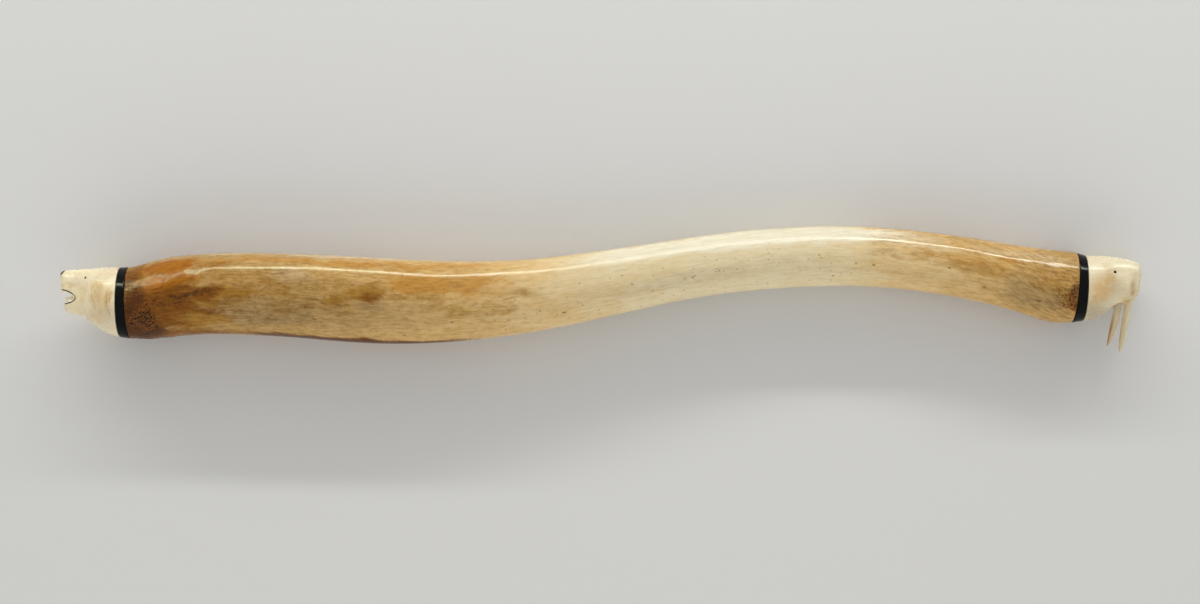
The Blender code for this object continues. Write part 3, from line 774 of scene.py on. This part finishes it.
class Shader:
    """Short words for wiring up a material's nodes."""

    def __init__(self, name, **constants):
        self.material = bpy.data.materials.new(name)
        self.material.use_nodes = True
        self.nodes = self.material.node_tree.nodes
        self.links = self.material.node_tree.links
        self.nodes.clear()
        self.surface = self.nodes.new("ShaderNodeBsdfPrincipled")
        output = self.nodes.new("ShaderNodeOutputMaterial")
        self.links.new(self.surface.outputs["BSDF"], output.inputs["Surface"])
        for socket, value in constants.items():
            self.surface.inputs[socket.replace("_", " ")].default_value = value

    def feed(self, socket, value):
        if isinstance(value, bpy.types.NodeSocket):
            self.links.new(value, socket)
        elif value is not None:
            socket.default_value = value

    def mask(self, name):
        node = self.nodes.new("ShaderNodeAttribute")
        node.attribute_name = name
        return node.outputs["Fac"]

    def place(self, name):
        node = self.nodes.new("ShaderNodeAttribute")
        node.attribute_name = name
        return node.outputs["Vector"]

    def position(self):
        return self.nodes.new("ShaderNodeTexCoord").outputs["Object"]

    def stretch(self, vector, x, y, z):
        node = self.nodes.new("ShaderNodeVectorMath")
        node.operation = "MULTIPLY"
        self.feed(node.inputs[0], vector)
        node.inputs[1].default_value = (x, y, z)
        return node.outputs["Vector"]

    def noise(self, vector, scale, detail, roughness, distortion=0.0):
        node = self.nodes.new("ShaderNodeTexNoise")
        self.feed(node.inputs["Vector"], vector)
        node.inputs["Scale"].default_value = scale
        node.inputs["Detail"].default_value = detail
        node.inputs["Roughness"].default_value = roughness
        node.inputs["Distortion"].default_value = distortion
        return node.outputs["Fac"]

    def cells(self, vector, scale):
        """The distance to the nearest random seed on a flat sheet, and a random number for that seed."""
        node = self.nodes.new("ShaderNodeTexVoronoi")
        node.voronoi_dimensions = "2D"
        self.feed(node.inputs["Vector"], vector)
        node.inputs["Scale"].default_value = scale
        split = self.nodes.new("ShaderNodeSeparateColor")
        self.links.new(node.outputs["Color"], split.inputs["Color"])
        return node.outputs["Distance"], split.outputs["Red"]

    def math(self, operation, a, b=None, c=None):
        node = self.nodes.new("ShaderNodeMath")
        node.operation = operation
        for socket, value in zip(node.inputs, (a, b, c)):
            self.feed(socket, value)
        return node.outputs["Value"]

    def sway(self, base, noise, amount):
        """base, moved up and down by a noise that is a half on average."""
        return self.math("MULTIPLY_ADD", self.math("SUBTRACT", noise, 0.5), amount, base)

    def span(self, value, low, high, start=0.0, end=1.0):
        """value taken smoothly from low..high to start..end."""
        node = self.nodes.new("ShaderNodeMapRange")
        node.interpolation_type = "SMOOTHSTEP"
        self.feed(node.inputs["Value"], value)
        for name, number in (("From Min", low), ("From Max", high), ("To Min", start), ("To Max", end)):
            self.feed(node.inputs[name], number)
        return node.outputs["Result"]

    def ramp(self, value, stops):
        node = self.nodes.new("ShaderNodeValToRGB")
        self.feed(node.inputs["Fac"], value)
        elements = node.color_ramp.elements
        while len(elements) < len(stops):
            elements.new(0.5)
        for element, (place, colour) in zip(elements, stops):
            element.position = place
            element.color = (*colour, 1)
        return node.outputs["Color"]

    def mix(self, share, a, b, blend="MIX"):
        node = self.nodes.new("ShaderNodeMix")
        node.data_type = "RGBA"
        node.blend_type = blend
        self.feed(node.inputs[0], share)
        for socket, colour in ((node.inputs[6], a), (node.inputs[7], b)):
            self.feed(socket, (*colour, 1) if isinstance(colour, tuple) else colour)
        return node.outputs[2]

    def bump(self, height, strength, distance):
        node = self.nodes.new("ShaderNodeBump")
        node.inputs["Strength"].default_value = strength
        node.inputs["Distance"].default_value = distance
        self.feed(node.inputs["Height"], height)
        self.links.new(node.outputs["Normal"], self.surface.inputs["Normal"])

    def finish(self, colour, roughness):
        self.feed(self.surface.inputs["Base Color"], colour)
        self.feed(self.surface.inputs["Roughness"], roughness)
        return self.material


CREAM = (0.80, 0.68, 0.43)
HONEY = (0.75, 0.55, 0.27)
AMBER = (0.65, 0.42, 0.16)
TAN = (0.52, 0.325, 0.115)
OLD_TAN = (0.44, 0.26, 0.08)
WHITE = (1.0, 1.0, 1.0)
# Each stain's colour, how torn its edges are, by which noise, and how fully it covers.
STAIN_TONES = (
    # The first tone is partly the bone's lighter tone and partly painted sheen along the upper side.
    ("pale", (0.84, 0.77, 0.58), 0.3, "patchy", 1.0),
    ("grey", (0.40, 0.27, 0.12), 0.7, "patchy", 0.75),
    ("tawny", (0.52, 0.252, 0.043), 1.0, "patchy", 0.85),
    ("gold", (0.375, 0.190, 0.024), 1.5, "patchy", 0.85),
    ("russet", (0.385, 0.129, 0.002), 1.4, "patchy", 0.95),
    ("umber", (0.220, 0.077, 0.006), 1.7, "patchy", 0.95),
    ("sepia", (0.080, 0.026, 0.006), 2.2, "fleck", 0.9),
)
CHAR = (0.010, 0.007, 0.006)
PORE = (0.13, 0.072, 0.030)
CRACK = (0.05, 0.020, 0.006)


def aged_colour(s, flow, patchy):
    """Cream to tan, as the mask "age" says, in broad and in broken blotches."""
    age = s.mask("age")
    wander = s.sway(age, s.noise(flow, 160, 5, 0.6, 0.4), 0.45)
    wander = s.sway(wander, patchy, s.math("MULTIPLY", age, 0.7))
    return s.ramp(wander, ((0.0, CREAM), (0.28, HONEY), (0.52, AMBER), (0.78, TAN), (1.0, OLD_TAN)))


def stained(s, colour, patchy, fleck):
    """The colour under each stain in turn, and under black specks."""
    edges = {"patchy": patchy, "fleck": fleck}
    for name, tone, torn, by, full in STAIN_TONES:
        cover = s.mask(name)
        ragged = s.sway(cover, edges[by], torn)
        weight = s.math("MULTIPLY", s.span(ragged, 0.1, 0.9, 0.0, full), s.span(cover, 0.0, 0.3))
        colour = s.mix(weight, colour, tone)
    speck = s.math("MULTIPLY", s.span(fleck, 0.46, 0.58), s.span(s.mask("char"), 0.1, 0.9))
    return s.mix(speck, colour, CHAR)


def pore_holes(s, fleck):
    """How deep each point lies in a pore, 0 to 1: small ones strewn at random, and the larger ones."""
    away, kind = s.cells(s.stretch(s.place("sheet"), 0.65, 1, 1), 260)
    size = s.span(kind, 0.35, 1.0, 0.03, 0.125)
    away = s.sway(away, fleck, 0.16)
    pore = s.span(s.math("DIVIDE", away, size), 0.0, 1.15, 0.8, 0.0)
    pore = s.math("MULTIPLY", pore, s.math("MULTIPLY", s.mask("pores"), s.span(kind, 0.3, 1.0)))
    pit = s.sway(s.mask("pit"), fleck, 1.4)
    return s.math("MAXIMUM", pore, s.span(pit, 0.3, 1.3, 0.85, 0.0))


def fossil_bone():
    """Old walrus bone: cream in the middle, tan and brown with mineral stains at its ends, under a polish.
    Its paler patches along the upper side are partly painted sheen.
    """
    s = Shader("fossil_bone", IOR=1.45, Specular_IOR_Level=0.2)
    grain = s.place("grain")
    flow = s.stretch(grain, 0.35, 1, 1)
    fibre = s.stretch(grain, 0.09, 1, 1)
    patchy = s.noise(s.stretch(grain, 0.45, 1, 1), 190, 9, 0.72, 0.6)
    mottle = s.noise(s.stretch(grain, 0.4, 1, 1), 620, 5, 0.65)
    fleck = s.noise(grain, 900, 4, 0.65)
    streak = s.noise(fibre, 900, 4, 0.6)
    colour = stained(s, aged_colour(s, flow, patchy), patchy, fleck)

    age = s.mask("age")
    shade = s.ramp(mottle, ((0.36, (0.74, 0.69, 0.60)), (0.5, WHITE), (0.64, (1.12, 1.12, 1.10))))
    colour = s.mix(s.span(age, 0.0, 0.9, 0.15, 0.9), colour, shade, "MULTIPLY")
    lines = s.ramp(streak, ((0.36, (0.80, 0.76, 0.68)), (0.5, WHITE), (0.7, (1.06, 1.06, 1.06))))
    colour = s.mix(s.span(age, 0.0, 0.9, 0.4, 0.9), colour, lines, "MULTIPLY")

    hole = pore_holes(s, fleck)
    colour = s.mix(hole, colour, PORE)
    crack = s.math("MULTIPLY", s.mask("crease"), s.span(fleck, 0.35, 0.6, 0.5, 0.95))
    colour = s.mix(crack, colour, CRACK)

    strokes = s.math("SUBTRACT", s.noise(s.place("strokes"), 700, 3, 0.6), 0.5)
    worked = s.math("MULTIPLY", strokes, s.mask("worked"))
    scored = ((0.38, (0.78, 0.73, 0.66)), (0.5, WHITE), (0.62, (1.1, 1.09, 1.07)))
    scored = s.ramp(s.math("ADD", worked, 0.5), scored)
    colour = s.mix(0.9, colour, scored, "MULTIPLY")

    knobs = s.math("MULTIPLY", s.noise(grain, 1100, 2, 0.5), s.mask("knobbly"))
    height = s.math("MULTIPLY_ADD", s.noise(fibre, 500, 1, 0.5), 0.5, s.noise(flow, 420, 2, 0.5))
    height = s.math("MULTIPLY_ADD", worked, 1.8, height)
    height = s.math("MULTIPLY_ADD", knobs, 4.5, height)
    height = s.math("SUBTRACT", height, s.math("MULTIPLY", hole, 1.5))
    s.bump(height, 0.12, 0.15 * MM)
    return s.finish(colour, s.sway(s.mask("dullness"), mottle, 0.12))


IVORY_POLISH = {"IOR": 1.45, "Specular_IOR_Level": 0.4}
IVORY = (0.82, 0.73, 0.52)
IVORY_WARM = (0.78, 0.64, 0.40)
# Painted light: a paler ivory that brightens the bear's top and muzzle and the walrus's upper muzzle, where
# light falls.
IVORY_PAINTED_LIGHT = (1.0, 0.87, 0.57)
# Painted shade: darker ivory under the jaws, in the walrus's cheek valley and at its muzzle front.
IVORY_PAINTED_SHADE = (0.46, 0.39, 0.26)
DENTINE = (0.68, 0.45, 0.19)
INK = (0.012, 0.010, 0.009)
GROWTH_BROWN = (0.42, 0.25, 0.10)
GRIME = (0.46, 0.25, 0.02)
# The tongue and teeth: partly their own paler tone, partly painted light against the shade inside the mouth.
TONGUE_TONE_AND_PAINTED_LIGHT = (1.0, 0.96, 0.80)


def ivory():
    """Polished walrus ivory with warm patches, faint growth lines and inked lines, and painted light and
    painted shade.
    """
    s = Shader("ivory", Subsurface_Weight=0.1, Subsurface_Scale=0.6 * MM, **IVORY_POLISH)
    where = s.position()
    flow = s.stretch(where, 0.35, 1, 1)
    cloud = s.noise(where, 110, 4, 0.55)
    mottle = s.noise(where, 700, 3, 0.6)
    streak = s.noise(s.stretch(where, 0.15, 1, 1), 900, 4, 0.6)
    patchy = s.noise(where, 420, 7, 0.65)
    colour = s.mix(s.span(cloud, 0.35, 0.75), IVORY, IVORY_WARM)
    # Painted light: paler where the tops and muzzles catch the light.
    colour = s.mix(s.mask("painted_light"), colour, IVORY_PAINTED_LIGHT)
    # Painted shade under the jaws and in the hollows.
    colour = s.mix(s.mask("painted_shade"), colour, IVORY_PAINTED_SHADE)
    dentine = s.mask("dentine")
    patch = s.span(s.sway(dentine, patchy, 0.35), 0.0, 1.0, 0.0, 0.9)
    colour = s.mix(s.math("MULTIPLY", patch, s.span(dentine, 0.0, 0.3)), colour, DENTINE)
    lines = s.ramp(streak, ((0.36, (0.92, 0.89, 0.84)), (0.55, WHITE)))
    colour = s.mix(0.6, colour, lines, "MULTIPLY")
    broken = s.noise(flow, 500, 3, 0.6)
    growth = s.mask("growth")
    line = s.span(s.sway(growth, broken, 1.2), 0.2, 1.0, 0.0, 0.75)
    colour = s.mix(s.math("MULTIPLY", line, s.span(growth, 0.0, 0.3)), colour, GROWTH_BROWN)
    grime = s.math("MULTIPLY", s.mask("grime"), s.span(patchy, 0.35, 0.6, 0.6, 1.0))
    colour = s.mix(grime, colour, GRIME)
    # Tongue and teeth painted paler: partly their own tone, partly painted light against the mouth's shade.
    colour = s.mix(s.mask("tongue_and_teeth"), colour, TONGUE_TONE_AND_PAINTED_LIGHT)
    ink = s.sway(s.mask("ink"), broken, 0.35)
    colour = s.mix(s.span(ink, 0.28, 0.6, 0.0, 0.97), colour, INK)
    height = s.math("MULTIPLY_ADD", streak, 0.4, s.math("MULTIPLY", mottle, 0.4))
    s.bump(height, 0.2, 0.08 * MM)
    return s.finish(colour, s.span(mottle, 0.3, 0.7, 0.22, 0.34))


TUSK_PALE = (0.86, 0.78, 0.56)
TUSK_DEEP = (0.72, 0.60, 0.38)
# Painted shade: darkens the near tusk most, and each tusk more towards its tip.
TUSK_PAINTED_SHADE = (0.50, 0.40, 0.24)
TUSK_AMBER = (0.40, 0.18, 0.035)


def tusk_ivory():
    """Slim ivory pegs, streaked along their length, darkened by painted shade, and amber along one edge near
    the tip.
    """
    s = Shader("tusk_ivory", Subsurface_Weight=0.1, Subsurface_Scale=0.5 * MM, **IVORY_POLISH)
    grain = s.place("grain")
    streak = s.noise(grain, 1500, 4, 0.6)
    mottle = s.noise(grain, 600, 3, 0.6)
    colour = s.mix(s.span(streak, 0.35, 0.65), TUSK_DEEP, TUSK_PALE)
    # Painted shade darkens the near tusk and the tips.
    colour = s.mix(s.mask("painted_tusk_shade"), colour, TUSK_PAINTED_SHADE)
    amber = s.math("MULTIPLY", s.mask("amber"), s.span(mottle, 0.3, 0.6, 0.4, 1.0))
    colour = s.mix(amber, colour, TUSK_AMBER)
    height = s.math("MULTIPLY_ADD", streak, 0.6, s.math("MULTIPLY", mottle, 0.3))
    s.bump(height, 0.25, 0.06 * MM)
    return s.finish(colour, s.span(mottle, 0.3, 0.7, 0.26, 0.4))


BALEEN_TONES = ((0.3, (0.003, 0.003, 0.0033)), (0.6, (0.006, 0.0056, 0.0056)), (0.8, (0.018, 0.016, 0.014)))


def baleen():
    """Black baleen: fibrous, and polished until it shines."""
    s = Shader("baleen", IOR=1.45, Specular_IOR_Level=0.11)
    where = s.position()
    fibre = s.noise(s.stretch(where, 1, 0.12, 0.12), 2200, 4, 0.6)
    haze = s.noise(where, 350, 3, 0.5)
    colour = s.ramp(fibre, BALEEN_TONES)
    height = s.math("MULTIPLY_ADD", fibre, 0.5, s.math("MULTIPLY", haze, 0.6))
    s.bump(height, 0.3, 0.08 * MM)
    return s.finish(colour, s.span(haze, 0.3, 0.7, 0.11, 0.2))


# -------- the pieces

BONE = fossil_bone()
IVORY_HEAD = ivory()
TUSK = tusk_ivory()
BALEEN = baleen()


def build_bone():
    skin = Skin("oosik_bone", BONE_STATIONS, BONE_SPOKES, BONE_RIM, inset=6 * MM, along=7, around=2.2)
    bone_relief(skin)
    mesh, places, bearing = skin_mesh("bone_skin", skin, BONE_RIM)
    bone_masks(mesh, places, bearing)
    add_piece("bone_skin", mesh, BONE, "fossil_bone", "oosik_bone")


def build_collar(node):
    skin = Skin(node, 24, 160, 0.35 * MM, inset=1.6 * MM, along=0, around=2.2)
    mesh, _, _ = skin_mesh(node + "_skin", skin, 0.45 * MM)
    add_piece(node + "_skin", mesh, BALEEN, "baleen", node)


# Patches on the heads: x, y, half length and half height in mm, and strength.
BEAR_STAINS = (
    (-281.0, -3.5, 5.5, 9.0, 0.75), (-281.4, 1.8, 4.6, 4.6, 0.9), (-275.6, -6.0, 2.2, 7.0, 0.9),
    (-298.0, 2.6, 6.0, 2.0, 0.6), (-291.0, -3.0, 6.0, 7.0, 0.4), (-282.5, -14.0, 6.0, 6.0, 0.45),
)
BEAR_TONES = {
    # Painted light on the bear's top and muzzle:
    "painted_light": ((-290.0, -3.0, 20.0, 9.0, 0.9), (-293.0, 8.0, 12.0, 5.0, 0.7)),
    # Painted shade under the bear's jaw by the collar:
    "painted_shade": ((-277.0, -13.0, 6.0, 6.0, 0.3),),
    "grime": ((-295.3, -4.6, 0.6, 1.6, 0.6),),
}
WALRUS_STAINS = (
    (281.5, -0.5, 7.5, 6.5, 0.95), (286.0, 5.0, 5.5, 4.5, 0.8), (277.5, -5.0, 4.2, 5.0, 0.8),
    (285.5, 11.0, 5.0, 5.0, 0.45), (299.0, 0.6, 2.0, 5.0, 0.5),
)
WALRUS_TONES = {
    # Painted light on the walrus's upper muzzle:
    "painted_light": ((296.0, 8.0, 6.0, 6.0, 0.25),),
    # Painted shade under the walrus's jaw, in its cheek valley and at its muzzle front:
    "painted_shade": ((277.0, -14.0, 8.0, 8.0, 0.9), (289.5, 1.5, 7.0, 4.5, 0.4), (299.0, 0.0, 3.0, 7.0, 0.4)),
    "grime": (
        (296.6, -6.9, 2.8, 1.5, 1.0), (298.9, 2.8, 1.0, 1.6, 0.65), (299.1, -1.6, 0.9, 1.7, 0.8),
        (299.0, 0.6, 1.2, 4.0, 0.35),
    ),
}
PAD_CREASE = ((301.0, 9.5), (300.9, 4.0), (300.5, -2.0), (300.0, -5.0))
# How amber each tusk is, how strongly painted shade darkens it, and the seed of its streaks.
TUSKS = {"near": (1.0, 0.8, 71), "far": (0.2, 0.1, 72)}


def build_eye(animal, side):
    eye = animal + "_eye_" + side
    add_piece(eye + "_plug", eye_mesh(eye, animal + "_head"), BALEEN, "baleen", eye)


def build_bear():
    lines = [("ink", LIP_LINE, 0.12, 0.4, 1.0)]
    lines += [("growth", line, 0.06, width, strength) for line, width, strength in GROWTH_LINES]
    mesh = head("bear_head", BEAR_NET, BEAR_FORMS, lines, BEAR_STAINS, BEAR_TONES, BEAR_MOUTH, 41)
    add_piece("bear_head_carving", mesh, IVORY_HEAD, "ivory", "bear_head")
    build_eye("bear", "near")
    build_eye("bear", "far")
    nose = smooth_net("bear_nose", voxel=NOSE_NET, rounds=30)
    add_piece("bear_nose_inlay", nose, BALEEN, "baleen", "bear_nose")


def build_walrus():
    lines = [("groove", PAD_CREASE, 0.14, 0.7, 1.0)]
    mesh = head("walrus_head", WALRUS_NET, WALRUS_FORMS, lines, WALRUS_STAINS, WALRUS_TONES, None, 61)
    add_piece("walrus_head_carving", mesh, IVORY_HEAD, "ivory", "walrus_head")
    for side, (amber, painted_tusk_shade, seed) in TUSKS.items():
        build_eye("walrus", side)
        node = "walrus_tusk_" + side
        add_piece(node + "_peg", tusk(node, amber, painted_tusk_shade, seed), TUSK, "tusk_ivory", node)


# -------- the studio

AIM = Vector((0, 0, 0.02))
FLOOR_REACH = 8.0
FLOOR_COLOUR = (0.72, 0.72, 0.71, 1)
SKY_COLOUR = (1.0, 0.99, 0.97, 1)
SKY_STRENGTH = 0.51
PLAIN = (1.0, 1.0, 1.0)
LATE_SUN = (0.90, 1.0, 0.70)
DAYLIGHT = (0.94, 1.0, 0.88)
# Each panel's left and right end, height, radiance and colour, and whether the polish mirrors it.
PANELS = {
    "back_wall": ((-1.2, 1.15, 0.62), (1.2, 1.15, 0.62), 0.7, 0.36, PLAIN, False),
    "back_strip": ((-1.2, 1.10, 0.49), (1.2, 1.10, 0.49), 0.045, 32.0, PLAIN, False),
    "front_wall": ((-1.3, -1.30, 0.60), (1.3, -1.30, 0.60), 1.1, 1.03, PLAIN, False),
    "left_window": ((-1.00, 0.90, 0.80), (-0.12, 1.11, 0.47), 0.105, 40.0, LATE_SUN, True),
    "right_window": ((-0.12, 1.11, 0.47), (1.30, 1.05, 0.58), 0.10, 42.0, DAYLIGHT, True),
}
CAMERA_PLACE = (-0.0004, -0.0071, 1.470)
LENS_MM = 76.9
SENSOR_MM = 36


def panel(name, left, right, height, radiance, colour, mirrored):
    """A strip of even light that the camera doesn't see. Polish mirrors it, or else it only lights things."""
    left, right = Vector(left), Vector(right)
    light = bpy.data.lights.new(name, "AREA")
    light.shape = "RECTANGLE"
    light.size, light.size_y = (right - left).length, height
    light.energy = radiance * math.pi * light.size * height
    light.color = colour
    middle = (left + right) / 2
    along = (right - left).normalized()
    back = middle - AIM
    back = (back - along * back.dot(along)).normalized()
    turn = Matrix((along, back.cross(along), back)).transposed()
    box = bpy.data.objects.new(name, light)
    bpy.context.scene.collection.objects.link(box)
    box.matrix_world = Matrix.Translation(middle) @ turn.to_4x4()
    box.visible_camera = False
    box.visible_glossy = mirrored
    box.visible_diffuse = not mirrored


def studio():
    """A plain pale floor under an even sky, with panels of light behind and before the object."""
    floor_mesh = bpy.data.meshes.new("studio_floor")
    corners = [(-FLOOR_REACH, -FLOOR_REACH, 0), (FLOOR_REACH, -FLOOR_REACH, 0)]
    corners += [(FLOOR_REACH, FLOOR_REACH, 0), (-FLOOR_REACH, FLOOR_REACH, 0)]
    floor_mesh.from_pydata(corners, [], [(0, 1, 2, 3)])
    floor = bpy.data.objects.new("studio_floor", floor_mesh)
    bpy.context.scene.collection.objects.link(floor)
    floor_mesh.materials.append(Shader("studio_floor").finish(FLOOR_COLOUR, 0.9))

    world = bpy.data.worlds.new("studio")
    bpy.context.scene.world = world
    world.use_nodes = True
    background = world.node_tree.nodes["Background"]
    background.inputs["Color"].default_value = SKY_COLOUR
    background.inputs["Strength"].default_value = SKY_STRENGTH
    for name, settings in PANELS.items():
        panel(name, *settings)


def camera():
    """A long lens that looks straight down on the object."""
    lens = bpy.data.cameras.new("camera")
    lens.lens = LENS_MM
    lens.sensor_width = SENSOR_MM
    lens.clip_start = 0.01
    holder = bpy.data.objects.new("camera", lens)
    bpy.context.scene.collection.objects.link(holder)
    holder.location = CAMERA_PLACE
    bpy.context.scene.camera = holder


build_bone()
build_collar("bear_collar")
build_collar("walrus_collar")
build_bear()
build_walrus()
studio()
camera()
bpy.context.scene.view_settings.view_transform = "Standard"
